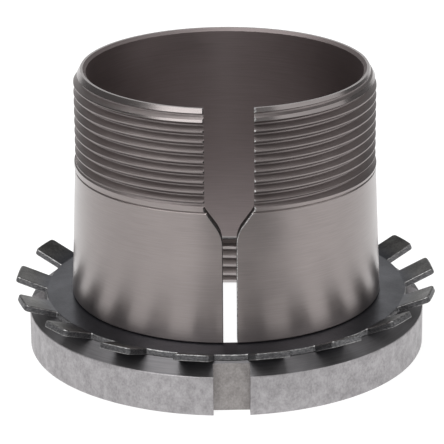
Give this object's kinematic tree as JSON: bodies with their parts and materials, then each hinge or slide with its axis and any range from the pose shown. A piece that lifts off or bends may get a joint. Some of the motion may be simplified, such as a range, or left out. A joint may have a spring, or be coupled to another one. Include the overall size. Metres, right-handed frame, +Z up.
{
  "type": "bearing adapter sleeve",
  "caption": "Split tapered adapter sleeve with a threaded end, standing on its bent-tab lock washer and its slotted round lock nut.",
  "frame": {"origin": "on the common axis at the nut's underside, where the stack stands", "axes": "+Z up along the common axis, -Y through the middle of the sleeve's slit and of one spanner slot"},
  "size_m": [0.0854, 0.0854, 0.0578],
  "materials": {
    "nut_steel": "matt grey, tumbled, faintly mottled",
    "washer_steel": "blackened sheet with darkened sheared edges",
    "sleeve_steel": "fine turned and ground steel, faintly warm grey"
  },
  "bodies": {
    "root": {"lock_nut": "nut_steel", "lock_washer": "washer_steel", "adapter_sleeve": "sleeve_steel"}
  },
  "joints": []
}
